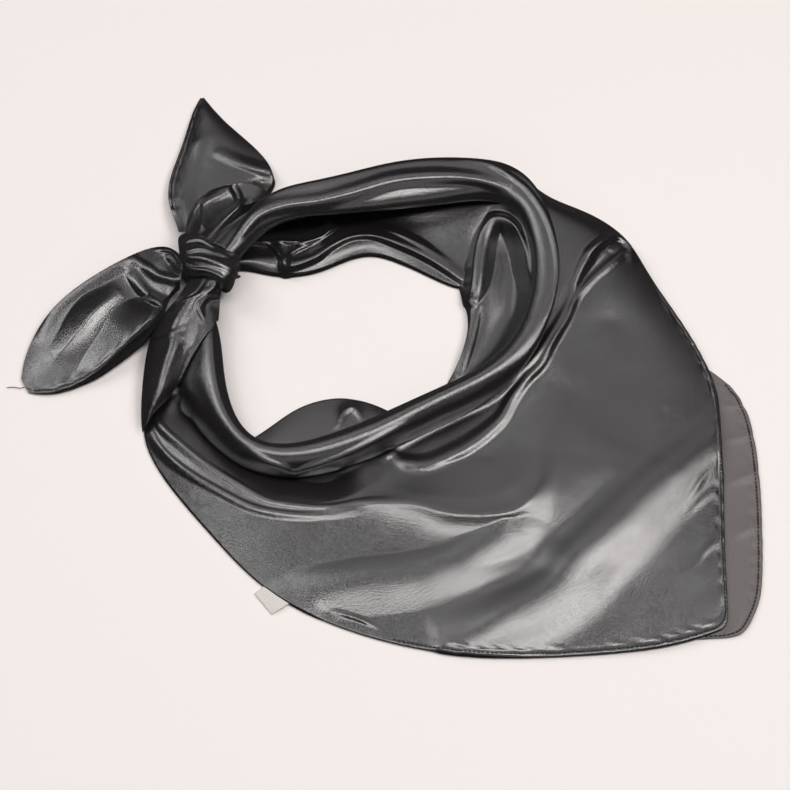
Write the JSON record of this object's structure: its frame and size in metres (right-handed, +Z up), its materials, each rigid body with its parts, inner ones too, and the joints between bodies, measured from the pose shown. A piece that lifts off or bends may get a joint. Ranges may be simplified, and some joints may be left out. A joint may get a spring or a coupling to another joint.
{
  "type": "square satin neck scarf, knotted and laid flat",
  "caption": "Satin square scarf folded on its diagonal, its ends tied in a square knot round an open neck loop, lying on a surface.",
  "frame": {"origin": "middle of the outline, on the surface the scarf lies on", "axes": "+Z up, +X to the right seen by a viewer at -Y, +Y towards the back roll; the knot is at -X +Y and the free corner at +X -Y"},
  "size_m": [0.4698, 0.426, 0.038],
  "materials": {
    "satin": "dark grey polyester satin, right side, strong grainy sheen along the folds",
    "satin_wrong_side": "matte wrong side of the same dark grey satin",
    "label_tape": "white woven polyester label tape, blank"
  },
  "bodies": {
    "root": {"front_drape": "satin", "hidden_layers": "satin", "hidden_layers_back": "satin", "inner_flap": "satin", "back_wall": "satin", "right_wall": "satin", "back_roll": "satin", "right_rim": "satin", "front_roll": "satin", "arm_inner": "satin", "arm_outer": "satin", "tail_top": "satin", "tail_petal": "satin", "tail_left": "satin", "knot_core": "satin", "knot_band": "satin", "under_drape": "satin_wrong_side", "care_label": "label_tape"}
  },
  "joints": []
}
